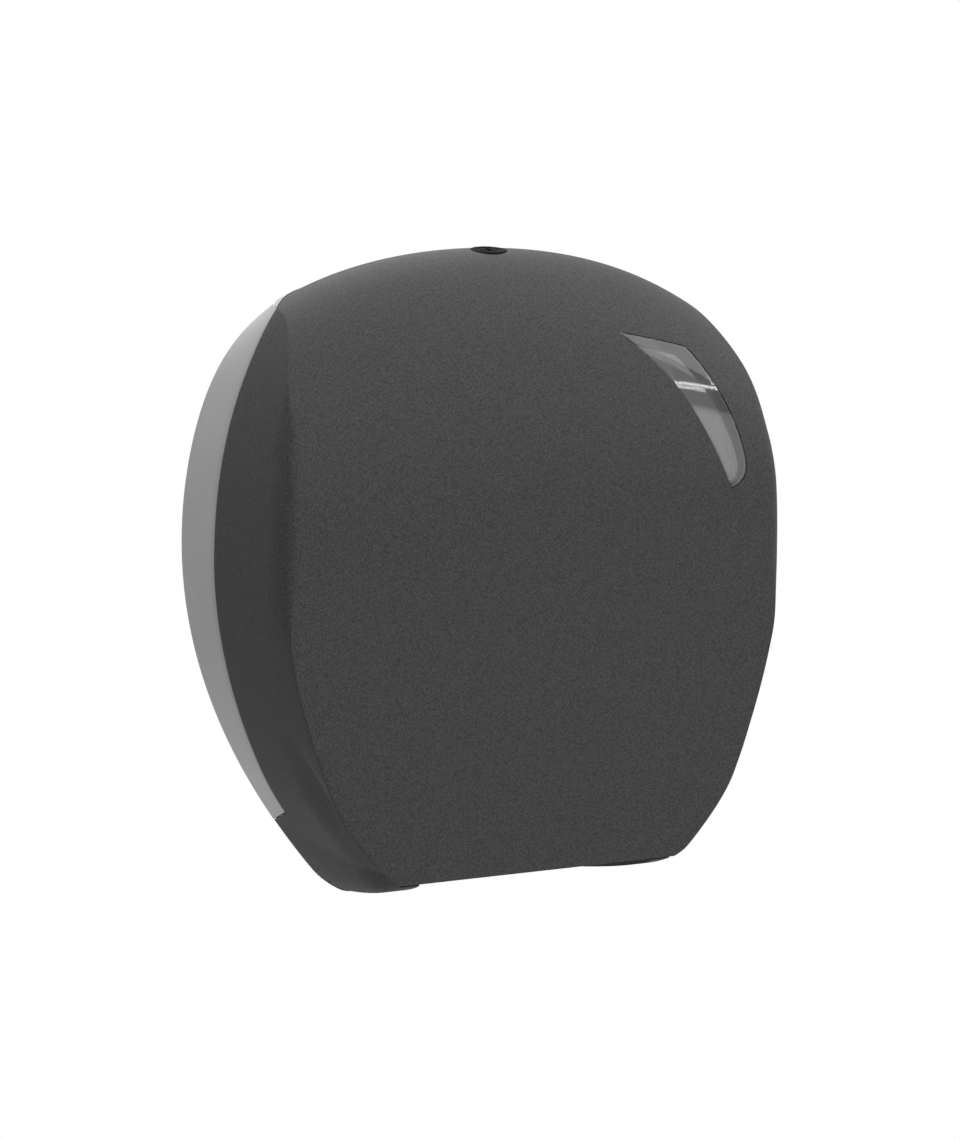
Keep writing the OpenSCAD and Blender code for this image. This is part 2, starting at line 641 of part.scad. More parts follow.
module core_hub() {
    color(black) on_axis(hub_root) difference() {
        union() {
            cylinder(r = hub_flange_r, h = hub_flange_t);
            cylinder(r = hub_d / 2, h = hub_len - 3);
            translate([0, 0, hub_len - 3.01]) cylinder(r1 = hub_d / 2, r2 = hub_d / 2 - 3, h = 3.01);
        }
        // hollow between the sleeve and the shell, open to the wall and crossed by six webs
        difference() {
            translate([0, 0, -1]) cylinder(r = hub_d / 2 - hub_shell, h = hub_len - 3);
            translate([0, 0, -2]) cylinder(r = post_r + hub_play + hub_sleeve, h = hub_len);
            for (a = [0 : 60 : 300]) rotate([0, 0, a]) translate([post_r + 1, -rib_wall / 2, -2])
                cube([hub_d / 2 - post_r - 2, rib_wall, hub_len]);
        }
        translate([0, 0, -1]) cylinder(r = post_r + hub_play, h = hub_len + 2);
    }
}
module hub_washer() {
    color(steel) on_axis(post_end) difference() {
        cylinder(r = washer_r, h = washer_t);
        translate([0, 0, -1]) cylinder(r = end_screw_r + 0.1, h = washer_t + 2);
    }
}
module hub_screw() {
    color(steel) on_axis(post_end + washer_t)
        screw(5, 3, end_screw_r - 0.3 - screw_fit, end_screw_len);
}

// ---------- tear bar inside the lower edge of the face ----------

bar_half = 54;
bar_t = 2;
tooth_pitch = 4;
tooth_h = 3.2;
bar_h = 14;
bar_stand = 3.2;         // bosses that hold it off the face
bar_d = depth - cover_wall - bar_stand - 0.1;
bar_low = front_bottom_z + 1;
bar_screw_x = [-44, 0, 44];
bar_screw_r = 1.3;
bar_boss_r = 3.4;
bar_screw_z = bar_low + bar_h - 4;
module tear_bar_at() {
    for (x = bar_screw_x) translate([x, 0, bar_screw_z]) rotate([90, 0, 0]) children();
}
module tear_bar() {
    teeth = floor(2 * bar_half / tooth_pitch);
    half = teeth * tooth_pitch / 2;
    color([0.72, 0.74, 0.76]) difference() {
        slab(bar_d - bar_t, bar_d) polygon(concat(
            [[half, bar_low + bar_h], [-half, bar_low + bar_h], [-half, bar_low + tooth_h]],
            [for (k = [0 : teeth - 1]) for (p = [[0.5, 0], [1, tooth_h]])
                [-half + (k + p[0]) * tooth_pitch, bar_low + p[1]]]));
        tear_bar_at() translate([0, 0, bar_d - bar_t - 1])
            cylinder(r = bar_screw_r + screw_clear, h = bar_t + 2);
    }
}
module tear_bar_bosses() {
    tear_bar_at() translate([0, 0, depth - cover_wall - bar_stand])
        cylinder(r = bar_boss_r, h = bar_stand + 0.5);
}
module tear_bar_screws() {
    color(steel) for (x = bar_screw_x) translate([x, -(bar_d - bar_t), bar_screw_z]) rotate([-90, 0, 0])
        screw(2.6, 1.8, bar_screw_r - 0.15 - screw_fit, bar_t + bar_stand + 0.4);
}

// ---------- lock pieces, in the lock's own frame ----------

lock_pad_r = 14;
lock_pad_z = -5;
seat_sink = 0.9;         // flat seat sunk in the roof for the rosette
nut_r = 11.5;
cam_z = -barrel_len - 1;
cam_w = 8;
cam_bore = 2.6;
module lock_housing() {
    color(black) at_lock() difference() {
        union() {
            translate([0, 0, -seat_sink + 0.1]) cylinder(d = rosette_d, h = rosette_h);
            translate([0, 0, -barrel_len]) cylinder(d = barrel_d, h = barrel_len);
        }
        translate([0, 0, -barrel_len - 1]) cylinder(d = plug_d + 2 * plug_play, h = barrel_len + 10);
        translate([0, 0, rosette_h - seat_sink - 0.4]) cylinder(d = plug_d + 5, h = 2);
    }
}
module lock_nut() {
    color(black) at_lock() translate([0, 0, lock_pad_z - 0.2 - nut_h]) difference() {
        cylinder(r = nut_r, h = nut_h, $fn = 6);
        translate([0, 0, -1]) cylinder(d = barrel_d + 0.2, h = nut_h + 2);
    }
}
plug_top = rosette_h - seat_sink - 0.5;
plug_low = cam_z - cam_t - 0.4;
plug_neck_r = 3;
key_w = 2.6;
module lock_plug() {
    color(black) at_lock() difference() {
        union() {
            translate([0, 0, -barrel_len - 0.6]) cylinder(d = plug_d, h = plug_top + barrel_len + 0.6);
            translate([0, 0, cam_z - cam_t]) cylinder(r = plug_neck_r, h = cam_t + 1);
        }
        // recess for the forked key
        translate([-key_w / 2, -plug_d / 2 + 1, plug_top - 6]) cube([key_w, plug_d - 2, 8]);
        translate([0, 0, cam_z - cam_t - 1]) cylinder(r = 1.2, h = 11);
    }
}
module lock_cam() {
    color(steel) at_lock() translate([0, 0, cam_z - cam_t]) difference() {
        union() {
            cylinder(r = 6, h = cam_t);
            translate([-cam_w / 2, 0, 0]) cube([cam_w, cam_reach, cam_t]);
        }
        translate([0, 0, -1]) cylinder(r = plug_neck_r + 0.02, h = cam_t + 2);
    }
}
module cam_screw() {
    color(steel) at_lock() translate([0, 0, cam_z - cam_t - 0.1]) rotate([180, 0, 0])
        screw(4.2, 2, 1.2 - screw_fit, 8);
}
// strike: an arm from the back plate with a tab that stands before the turned cam
tab_x = [12, 23];
tab_gap = 0.8;
tab_t = 2.6;
strike_z = roll_axis_z + 142;      // above the largest roll
strike_h = 3;
strike_fillet = 7;
strike_base_x = [-14, 39];
strike_base_t = 3;
strike_base_drop = 4;    // how far the base reaches below the arm
strike_base_h = 17;
strike_back = plate_wall + 0.1;
strike_screw_r = 1.8;
strike_screw_x = [-8, 33];
module strike_screws_at() {
    for (x = strike_screw_x) translate([x, 0, strike_z + strike_h + 4]) rotate([90, 0, 0]) children();
}
// side view of the arm and its tab, in Y and Z
module strike_profile() {
    root = -strike_back - strike_base_t / 2;
    tip = -lock_d - cam_w / 2 - tab_gap - tab_t / 2;
    polygon([[root, strike_z], [root, strike_z + strike_h + strike_fillet],
             [root - 2 * strike_fillet, strike_z + strike_h], [tip, strike_z + strike_h], [tip, strike_z]]);
    translate([-lock_d, lock_z]) rotate(lock_tilt)
        translate([-cam_w / 2 - tab_gap - tab_t, cam_z - cam_t - 13]) square([tab_t, cam_t + 16]);
}
module lock_strike() {
    color(light_grey) difference() {
        union() {
            translate([strike_base_x[0], -strike_back - strike_base_t, strike_z - strike_base_drop])
                cube([strike_base_x[1] - strike_base_x[0], strike_base_t, strike_base_h]);
            translate([tab_x[0], 0, 0]) rotate([90, 0, 90])
                linear_extrude(tab_x[1] - tab_x[0]) strike_profile();
        }
        strike_screws_at() cylinder(r = strike_screw_r + screw_clear, h = 20);
    }
}
module strike_screws() {
    color(steel) strike_screws_at() translate([0, 0, strike_back + strike_base_t])
        screw(3.4, 2.2, strike_screw_r - 0.3 - screw_fit, plate_wall + strike_base_t - 0.5);
}

back_plate();
left_flank();
right_flank();
spindle_post();
spindle_screws();
brake_washer();
core_hub();
hub_washer();
hub_screw();
tear_bar();
tear_bar_screws();
lock_strike();
strike_screws();
hinge_pin_left();
hinge_pin_right();
front_cover();
level_window();
lock_housing();
lock_nut();
lock_plug();
lock_cam();
cam_screw();
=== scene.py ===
import bmesh
import bpy
import math
import numpy as np
from mathutils import Matrix, Vector


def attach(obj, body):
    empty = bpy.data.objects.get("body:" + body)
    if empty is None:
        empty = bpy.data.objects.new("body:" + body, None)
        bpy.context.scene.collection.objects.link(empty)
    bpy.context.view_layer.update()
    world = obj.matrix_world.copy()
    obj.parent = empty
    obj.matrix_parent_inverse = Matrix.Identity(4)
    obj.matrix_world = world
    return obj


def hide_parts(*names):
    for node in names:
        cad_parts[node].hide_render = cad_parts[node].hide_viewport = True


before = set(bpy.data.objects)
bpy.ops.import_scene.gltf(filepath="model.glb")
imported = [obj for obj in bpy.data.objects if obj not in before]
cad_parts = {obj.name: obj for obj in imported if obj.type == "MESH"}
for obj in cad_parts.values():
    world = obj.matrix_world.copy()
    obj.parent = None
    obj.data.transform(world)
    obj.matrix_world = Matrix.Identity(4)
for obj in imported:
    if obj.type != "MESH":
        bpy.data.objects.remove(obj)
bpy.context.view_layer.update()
MM = 0.001

# ---------------------------------------------------------------------------
# Room: a white studio. A floor well below the dispenser, two wide soft lamps
# over it, two weak ones in front, one high on the right for that shoulder, and a
# narrow strip that draws a streak on the window.
# ---------------------------------------------------------------------------


class Wire:
    """A node socket that takes part in Python arithmetic: each operator adds one Math node."""

    def __init__(self, tree, socket):
        self.tree, self.socket = tree, socket

    def math(self, operation, *values):
        return make_node(self.tree, "ShaderNodeMath", {"operation": operation},
                         dict(enumerate((self,) + values)))

    def __add__(self, other): return self.math("ADD", other)
    def __sub__(self, other): return self.math("SUBTRACT", other)
    def __mul__(self, other): return self.math("MULTIPLY", other)
    def __truediv__(self, other): return self.math("DIVIDE", other)
    def __pow__(self, other): return self.math("POWER", other)
    def __neg__(self): return self.math("MULTIPLY", -1.0)
    def __rsub__(self, other): return -self + other
    __radd__ = __add__
    __rmul__ = __mul__

    def ramp(self, low, high):
        """0 at low, 1 at high, smooth between them."""
        return make_node(self.tree, "ShaderNodeMapRange", {"interpolation_type": "SMOOTHSTEP"},
                         {"Value": self, "From Min": low, "From Max": high})

    def between(self, first, second):
        """The colour that goes from first to second as this value goes from 0 to 1."""
        return make_node(self.tree, "ShaderNodeMix", {"data_type": "RGBA"},
                         {0: self, 6: first, 7: second}, 2)


def make_node(tree, kind, settings, inputs, output=0):
    """Adds a node, sets its settings and then its sockets, and returns one output as a Wire."""
    node = tree.nodes.new(kind)
    for name, value in settings.items():
        setattr(node, name, value)
    for name, value in inputs.items():
        socket = node.inputs[name]
        if isinstance(value, Wire):
            tree.links.new(value.socket, socket)
        else:
            socket.default_value = value
    return Wire(tree, node.outputs[output])


def grey(level, tint=(1.0, 1.0, 1.0)):
    """A linear colour from a level of 0 to 255 as a screen shows it, with a tint."""
    c = level / 255
    linear = c / 12.92 if c <= 0.04045 else ((c + 0.055) / 1.055) ** 2.4
    return tuple(linear * t for t in tint) + (1.0,)


camera_data = bpy.data.cameras.new("camera")
camera_data.sensor_fit = "VERTICAL"
camera_data.sensor_height = 36.0
camera_data.lens = 78.19
camera = bpy.data.objects.new("camera", camera_data)
view_from = Vector((-490.7, -1326.1, 227.9)) * MM
view_to = Vector((14.4, 0.0, -20.0)) * MM
camera.location = view_from
camera.rotation_euler = (view_to - view_from).to_track_quat("-Z", "Y").to_euler()
bpy.context.scene.collection.objects.link(camera)
bpy.context.scene.camera = camera
bpy.context.scene.view_settings.view_transform = "Standard"


def background_where_seen(tree, light_shader):
    """White for rays from the camera, mirrors and glass, and the given shader for all others."""
    path = tree.nodes.new("ShaderNodeLightPath")
    camera_ray, glossy_ray, glass_ray = (Wire(tree, path.outputs["Is %s Ray" % kind])
                                         for kind in ("Camera", "Glossy", "Transmission"))
    seen = camera_ray.math("MAXIMUM", glossy_ray).math("MAXIMUM", glass_ray)
    white = make_node(tree, "ShaderNodeEmission", {}, {"Color": (1, 1, 1, 1), "Strength": 1.0})
    return make_node(tree, "ShaderNodeMixShader", {}, {0: seen, 1: light_shader, 2: white})


world = bpy.data.worlds.new("studio")
bpy.context.scene.world = world
world.use_nodes = True
world_tree = world.node_tree
world_tree.nodes.clear()
ambient_level = 0.42
ambient = make_node(world_tree, "ShaderNodeBackground", {},
                    {"Color": (1, 1, 1, 1), "Strength": ambient_level})
world_mix = background_where_seen(world_tree, ambient)
world_out = world_tree.nodes.new("ShaderNodeOutputWorld")
world_tree.links.new(world_mix.socket, world_out.inputs["Surface"])

floor_z = -1.1
floor_half = 4.0
floor_grey = 0.32
floor_mesh = bpy.data.meshes.new("floor")
floor_corners = [(-floor_half, -floor_half, floor_z), (floor_half, -floor_half, floor_z),
                 (floor_half, floor_half, floor_z), (-floor_half, floor_half, floor_z)]
floor_mesh.from_pydata(floor_corners, [], [(0, 1, 2, 3)])
floor = bpy.data.objects.new("floor", floor_mesh)
bpy.context.scene.collection.objects.link(floor)
floor_paint = bpy.data.materials.new("floor")
floor_paint.use_nodes = True
floor_tree = floor_paint.node_tree
floor_tree.nodes.clear()
floor_matt = make_node(floor_tree, "ShaderNodeBsdfDiffuse", {},
                       {"Color": (floor_grey, floor_grey, floor_grey, 1)})
floor_out = floor_tree.nodes.new("ShaderNodeOutputMaterial")
floor_tree.links.new(background_where_seen(floor_tree, floor_matt).socket, floor_out.inputs["Surface"])
floor_mesh.materials.append(floor_paint)


def soft_lamp(name, place, size, power, height=None):
    """An area lamp that faces the middle of the dispenser: a square, or a strip of a given height."""
    data = bpy.data.lights.new(name, "AREA")
    data.shape = "RECTANGLE" if height else "SQUARE"
    data.size = size
    if height:
        data.size_y = height
    data.energy = power
    lamp = bpy.data.objects.new(name, data)
    lamp.location = place
    lamp.rotation_euler = (Vector((0.0, -0.07, 0.0)) - lamp.location).to_track_quat("-Z", "Y").to_euler()
    bpy.context.scene.collection.objects.link(lamp)


soft_lamp("over", (0.0, -0.07, 1.8), 1.6, 13.0)
soft_lamp("over_back", (0.0, 1.3, 1.5), 1.6, 22.0)
soft_lamp("front", (0.0, -2.2, 0.3), 1.6, 12.0)
soft_lamp("front_right", (1.6, -1.7, 0.5), 1.4, 11.0)
soft_lamp("high_right", (1.5, -0.3, 1.3), 1.3, 13.0)
soft_lamp("strip", (1.15, -0.685, 1.005), 1.0, 1.1, height=0.025)

# ---------------------------------------------------------------------------
# Front cover: one moulded shell of dark grey plastic, 3 mm thick, with a fine
# speckled grain. Its face is flat, its roof rolls back in an ellipse, its sides
# run straight to the wall and end below in two feet that hold the hinge.
# ---------------------------------------------------------------------------

depth, cover_wall, wall_gap = 131.0, 3.0, 1.2
crest_d, roof_z, roof_sag = 43.0, 168.0, 5.5
roll_start_z, front_bottom_z = 38.0, -163.0
foot_inner_x, foot_drop, foot_bow = 68.0, 39.0, 0.85
foot_round_w, foot_round_h = 9.0, 15.0
foot_top_z, foot_back_z, foot_front_d = -145.0, -157.0, depth - 5.0
hinge_d, hinge_z = 14.0, -188.5
tip_z, undercut, lip_wall = 137.0, 4.0, 3.6
ROOF, ROLL, FACE, CHIN = 4, 18, 30, 34
TIP = 3.66
SIDE_N, CORNER_N, SKIN_N = 24, 16, 40


def ease(t):
    """Smooth step: 0 below 0, 1 above 1, cubic between."""
    u = np.clip(t, 0, 1)
    return u * u * (3 - 2 * u)


def lerp(a, b, t):
    return a + (b - a) * t


def side_x(d, z):
    """Half width: a parabola at the wall, two power curves at the face with a drawn-in chin, a
    straight run between them, and a shoulder that narrows the top, most of all at the wall."""
    at_wall = 163 - 0.002 * (z - 2) ** 2
    at_face = 142.6 - 20.2 * (np.maximum(0, -z) / 100) ** 1.7 - 12.6 * (np.maximum(0, z) / 100) ** 2.7
    at_face = at_face - 12.8 * np.clip((-120 - z) / 42, 0, 1) ** 1.6
    share = 0.15 + 0.85 * np.clip(1 - d / 60, 0, 1) ** 2
    return lerp(at_wall, at_face, d / depth) - 18.5 * (np.maximum(0, z - 2) / 135) ** 7 * share


def arch(x):
    """Fall of the roof away from its middle: a square term and a fourth-power term."""
    return 0.00175 * x ** 2 + 3.3e-8 * x ** 4


def reveal(z):
    """Distance of the cover's rear edge from the wall: widest at z = 95, less by a power of the
    distance from there, slowly downwards and fast upwards."""
    return 46.3 - 1.87 * (np.maximum(0, 95 - z) / 100) ** 2.22 - 6.3 * (np.maximum(0, z - 95) / 40) ** 2.5


def foot_z(d):
    """Lower edge of the feet: falls towards the wall by a power a little under 1."""
    return front_bottom_z - 2.2 - foot_drop * (np.maximum(0, foot_front_d - d) / foot_front_d) ** foot_bow


def lip(z):
    """How far the face's lip stands off the side: 0 down to z = -60, 1 from z = -135."""
    return ease((-60 - z) / 75)


def softness(z):
    """How soft the side corner is: 1 below z = 68, nearly 0 above z = 108."""
    return lerp(0.08, 1, ease((108 - z) / 40))


def inner_x(d, z, t):
    """Half width less a wall t that is measured square to the side in elevation."""
    lean = (side_x(d, z + 1) - side_x(d, z - 1)) / 2
    return side_x(d, z) - t * np.sqrt(1 + lean ** 2)


def face_level(r):
    """Level of row r on the flat face and on its last stretch down to the bottom edge."""
    upper = lerp(roll_start_z, foot_top_z, (r - ROLL) / (FACE - ROLL))
    left = 1 - np.clip((r - FACE) / (CHIN - FACE), 0, 1)
    lower = lerp(foot_top_z, front_bottom_z, 1 - left ** 1.5)
    return np.where(r <= FACE, upper, lower)


def skin(r, x, t):
    """Depth and level of the front and roof on row r at half width x, inset by t."""
    d_roof = lerp(wall_gap, crest_d, r / ROOF)
    z_roof = roof_z - t - arch(x) - roof_sag * ((crest_d - d_roof) / crest_d) ** 2
    a = math.pi / 2 * (1 - (r - ROOF) / (ROLL - ROOF))
    d_roll = crest_d + (depth - t - crest_d) * np.cos(a)
    z_roll = roll_start_z + (roof_z - t - arch(x) - roll_start_z) * np.sin(a)
    d = np.where(r < ROOF, d_roof, np.where(r < ROLL, d_roll, depth - t))
    z = np.where(r < ROOF, z_roof, np.where(r < ROLL, z_roll, face_level(r) + 0 * x))
    return d, z


def foot_rear(z):
    """Depth of the feet's rear edge: by the wall, then on a circle about the hinge."""
    drop = np.minimum(0, z - hinge_z)
    return hinge_d - np.sqrt(np.maximum(0, (hinge_d - wall_gap) ** 2 - drop ** 2))


def rear_end(r, t):
    """Depth and level where row r ends at the rear: down the reveal from the tip, and last down
    the foot by the wall. Rows before the tip end on the roof, at its seam."""
    tip = tip_z - 0.8 - 0.9 * t
    fall = np.clip((r - TIP) / (ROLL - TIP), 0, 1) ** 1.3
    z_foot = lerp(foot_back_z, foot_z(0.0) + foot_round_h, (r - FACE - 1) / (CHIN - FACE - 1))
    z = np.where(r <= ROLL, lerp(tip, roll_start_z, fall), np.where(r <= FACE, face_level(r), z_foot))
    return np.where(r <= FACE, reveal(z), foot_rear(z)), z


def seam_x(d):
    """Half width of the roof where the side wall's shoulder wraps over it: a power of the depth."""
    return lerp(93.0, 117.2, np.clip(d / 39.0, 0, 1) ** 0.8)


def edge_round(z):
    """How far the face's lower corner is drawn in by its quarter ellipse."""
    return 5 * (1 - np.sqrt(1 - np.clip((-157 - z) / 6.2, 0, 1) ** 2))


def half_rows(r, t):
    """Rows from the rear edge to the middle: side, soft corner or lip, then skin.
    The corner is where the skin meets the side, found by halving an interval."""
    r = r[:, None]
    lo, hi = np.full_like(r, 40.0), np.full_like(r, 170.0)
    for _ in range(30):
        x = (lo + hi) / 2
        d, z = skin(r, x, t)
        out = x > inner_x(d, z, t)
        lo, hi = np.where(out, lo, x), np.where(out, x, hi)
    z_c = skin(r, lo, t)[1]
    soft, l, low = softness(z_c), lip(z_c), ease((10 - z_c) / 50)
    x_c = lo - undercut * l if t > 0 else lo - edge_round(z_c)
    d_c, z_c = skin(r, x_c, t)
    d_e, z_e = rear_end(r, t)
    reach = lerp(lerp(18, 30, low) * soft, lip_wall + 1.6, l) * np.minimum(1, (d_c - d_e) / 30 + 0.05)
    d_a = d_c - reach
    z_a = lerp(z_e, z_c, np.clip((d_a - d_e) / np.maximum(1, d_c - d_e), 0, 1))

    def on_side(d, z):
        return inner_x(d, z, t + undercut * lip(z) * ease((d - depth + 46) / 40))

    u = np.linspace(0, 1, SIDE_N + 1)[None]
    d_s, z_s = lerp(d_e, d_a, u), lerp(z_e, z_a, u)
    side = np.stack(np.broadcast_arrays(on_side(d_s, z_s), d_s, z_s), -1)
    x_b = x_c - np.maximum(lerp(7.7, 0.8, low) * soft, 0.8)
    x_b = np.where(r < TIP, np.minimum(x_b, seam_x(d_c)), x_b)
    d_b, z_b = skin(r, x_b, t)
    a, c, b = (np.concatenate(p, 1) for p in
               ((on_side(d_a, z_a), d_a, z_a), (x_c, d_c, z_c), (x_b, d_b, z_b)))
    half = np.stack([lerp(a, c, 0.5)[:, 0] - 0.2, c[:, 1] - lip_wall + 0.2, c[:, 2]], -1)
    k = np.linspace(0, 1, CORNER_N + 1)[1:]
    u = k[None, :, None]
    corner = (1 - u) ** 2 * a[:, None] + 2 * u * (1 - u) * c[:, None] + u * u * b[:, None]
    if t == 0:
        knots = np.stack([a, a + [0.1, 0.5, 0], half, c + [-0.5, 0.6 - lip_wall, 0],
                          c + [0, 1.1 - lip_wall, 0], c + [0, -0.9, 0], c + [-0.25, -0.25, 0], b])
        stops = np.linspace(0, 1, len(knots))
        j = np.clip(np.searchsorted(stops, k) - 1, 0, len(knots) - 2)
        f = ((k - stops[j]) * (len(knots) - 1))[:, None, None]
        lip_c = np.transpose(lerp(knots[j], knots[j + 1], f), (1, 0, 2))
        corner = lerp(corner, lip_c, ease((l[:, :, None] - 0.3) / 0.4))
    x_f = x_b * (1 - np.linspace(0, 1, SKIN_N + 1)[1:][None])
    d_f, z_f = skin(r, x_f, t)
    front = np.stack(np.broadcast_arrays(x_f, d_f, z_f), -1)
    return np.concatenate([side, corner, front], 1)


def both_halves(h):
    """Rows of [x, depth, level] become full rows across both sides, in scene axes."""
    left = h * [-1, -1, 1]
    right = (h * [1, -1, 1])[:, -2::-1]
    return np.concatenate([left, right], 1)


def foot_rows(row, t, n=10):
    """The side's last row rounds under in a quarter ellipse, which shrinks with the height that
    is left above the foot's lower edge, and then runs flat to the foot's inner edge."""
    x0, d0, z0 = row[:SIDE_N + 1].T
    out = []
    for w in np.linspace(0, 1, n + 1)[1:]:
        d = np.maximum(d0, foot_rear(lerp(z0, foot_z(d0), w)))
        fall = np.maximum(0.3, z0 - foot_z(d) - t)
        z = z0 - w * fall
        under = foot_round_w * fall / foot_round_h * (1 - np.sqrt(1 - w * w))
        x = x0 + side_x(d, z) - side_x(d0, z0) - under
        out.append(np.stack([x, d, z], -1))
    last = out[-1]
    for w in np.linspace(0, 1, 5)[1:]:
        flat = last.copy()
        flat[:, 0] = lerp(last[:, 0], foot_inner_x, w)
        out.append(flat)
    return np.array(out)


def shell_mesh(name, outer, inner, keep):
    """A closed shell from two grids of points: keep says which cells exist,
    and each border between a kept and a missing cell gets a wall."""
    rows, cols = outer.shape[:2]
    points = np.concatenate([outer.reshape(-1, 3), inner.reshape(-1, 3)]) * MM
    number = np.arange(rows * cols).reshape(rows, cols)
    other = number + rows * cols
    a, b = number[:-1, :-1], number[:-1, 1:]
    c, d = number[1:, 1:], number[1:, :-1]
    faces = [np.stack([a, b, c, d], -1)[keep], np.stack([a, d, c, b], -1)[keep] + rows * cols]
    pad = np.pad(keep, 1)
    for shift, first, second in (((-1, 0), a, b), ((1, 0), c, d), ((0, -1), d, a), ((0, 1), b, c)):
        gone = ~pad[1 + shift[0]:rows + shift[0], 1 + shift[1]:cols + shift[1]]
        edge = keep & gone
        p, q = first[edge], second[edge]
        faces.append(np.stack([q, p, p + rows * cols, q + rows * cols], -1))
    mesh = bpy.data.meshes.new(name)
    mesh.from_pydata(points.tolist(), [], np.concatenate(faces).tolist())
    mesh.validate()
    return mesh


def new_piece(name, mesh, body, slot, *nodes):
    """Links a piece that rides on a body and hides the CAD nodes it stands for; its slot is not used."""
    piece = bpy.data.objects.new(name, mesh)
    bpy.context.scene.collection.objects.link(piece)
    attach(piece, body)
    if nodes:
        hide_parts(*nodes)
    return piece


def tidy_mesh(mesh, angle):
    """Merges doubles, drops loose points and marks edges sharper than the angle."""
    work = bmesh.new()
    work.from_mesh(mesh)
    bmesh.ops.remove_doubles(work, verts=work.verts, dist=1e-6)
    bmesh.ops.dissolve_degenerate(work, dist=1e-7, edges=work.edges)
    bmesh.ops.delete(work, geom=[v for v in work.verts if not v.link_faces], context="VERTS")
    for face in work.faces:
        face.smooth = True
    for edge in work.edges:
        edge.smooth = len(edge.link_faces) == 2 and edge.calc_face_angle(0) < angle
    work.to_mesh(mesh)
    work.free()


row_stops = np.concatenate([np.linspace(0, TIP, 15), [ROOF - 0.15, ROOF],
                            np.linspace(ROOF, ROLL, 61)[1:], np.linspace(ROLL, FACE, 41)[1:]])
chin_stops = np.linspace(FACE + 1, CHIN, 13)


def cover_grid(t):
    """All rows of one skin of the cover, from the wall over the roof and down to the feet."""
    main = half_rows(row_stops, t)
    chin = half_rows(chin_stops, t)
    step = np.linspace(0, 1, 6)[1:-1, None, None]
    link = lerp(main[-1][None], chin[0][None], step)
    foot = foot_rows(chin[-1], t)
    fill = np.repeat(chin[-1][None, SIDE_N + 1:], len(foot), 0)
    foot = np.concatenate([foot, fill], 1)
    return both_halves(np.concatenate([main, link, chin, foot])), len(main) + len(link) + len(chin)


cover_out, first_foot = cover_grid(0.0)
cover_in, _ = cover_grid(cover_wall)
cover_keep = np.ones((cover_out.shape[0] - 1, cover_out.shape[1] - 1), bool)
cover_keep[first_foot - 1:, SIDE_N:-SIDE_N] = False
tip_row = int(np.searchsorted(row_stops, TIP))
edge_n = SIDE_N + CORNER_N
cover_keep[:tip_row, :edge_n] = cover_keep[:tip_row, -edge_n:] = False
cover_mesh = shell_mesh("front_cover", cover_out, cover_in, cover_keep)


def bowed(a, b, h, n):
    """Points of an arc from a to b that bows by h to the left of the way."""
    a, b = np.array(a), np.array(b)
    v = b - a
    span = np.hypot(*v)
    radius, side = (span ** 2 / 4 + h * h) / (2 * abs(h)), np.sign(h)
    u = np.array([-v[1], v[0]]) / span
    centre = (a + b) / 2 - u * side * (radius - abs(h))
    half = math.asin(span / 2 / radius)
    turn = math.atan2(side * u[1], side * u[0]) + side * half * (1 - 2 * np.arange(n + 1) / n)
    return centre + radius * np.stack([np.cos(turn), np.sin(turn)], -1)


window_tip, window_corner, window_low = (53.0, 125.3), (93.9, 116.1), (120.1, 54.2)
window_foot, window_mid = (110.4, 40.2), (85.5, 91.6)


def window_edges(grow, n=24):
    """The crescent's outer and inner edge from tip to foot, moved outwards by grow at each mitre."""
    outer = [bowed(window_tip, window_corner, 0.4, n), bowed(window_corner, window_low, 4.5, 2 * n)[1:],
             bowed(window_low, window_foot, 3.1, n)[1:]]
    inner = [bowed(window_foot, window_mid, -1.3, 2 * n)[1:],
             bowed(window_mid, window_tip, -1.75, 2 * n)[1:-1]]
    ring = np.concatenate(outer + inner)
    way = np.roll(ring, -1, 0) - ring
    normal = np.stack([-way[:, 1], way[:, 0]], -1) / np.hypot(*way.T)[:, None]
    before = np.roll(normal, 1, 0)
    ring = ring + grow * (normal + before) / (1 + (normal * before).sum(1))[:, None]
    return ring[:4 * n + 1], np.concatenate([ring[4 * n:], ring[:1]])[::-1]


def face_depth(x, z, t):
    """Depth of the roll or of the flat face at x and z, inset by t."""
    s = np.clip((z - roll_start_z) / (roof_z - t - arch(x) - roll_start_z), 0, 1)
    return crest_d + (depth - t - crest_d) * np.sqrt(1 - s * s)


def stacked_mesh(name, layers):
    """A closed piece between the first and last grid; the layers between them only shape its rim."""
    rows, cols = layers[0].shape[:2]
    points = np.concatenate([g.reshape(-1, 3) for g in layers]) * MM
    number = np.arange(rows * cols).reshape(rows, cols)
    a, b, c, d = number[:-1, :-1], number[:-1, 1:], number[1:, 1:], number[1:, :-1]
    top = np.stack([a, b, c, d], -1).reshape(-1, 4)
    low = np.stack([a, d, c, b], -1).reshape(-1, 4) + (len(layers) - 1) * rows * cols
    loop = np.concatenate([number[0, :-1], number[:-1, -1], number[-1, :0:-1], number[:0:-1, 0]])
    after = np.roll(loop, -1)
    rim = [np.stack([after, loop, loop + rows * cols, after + rows * cols], -1) + k * rows * cols
           for k in range(len(layers) - 1)]
    mesh = bpy.data.meshes.new(name)
    mesh.from_pydata(points.tolist(), [], np.concatenate([top, low] + rim).tolist())
    return mesh


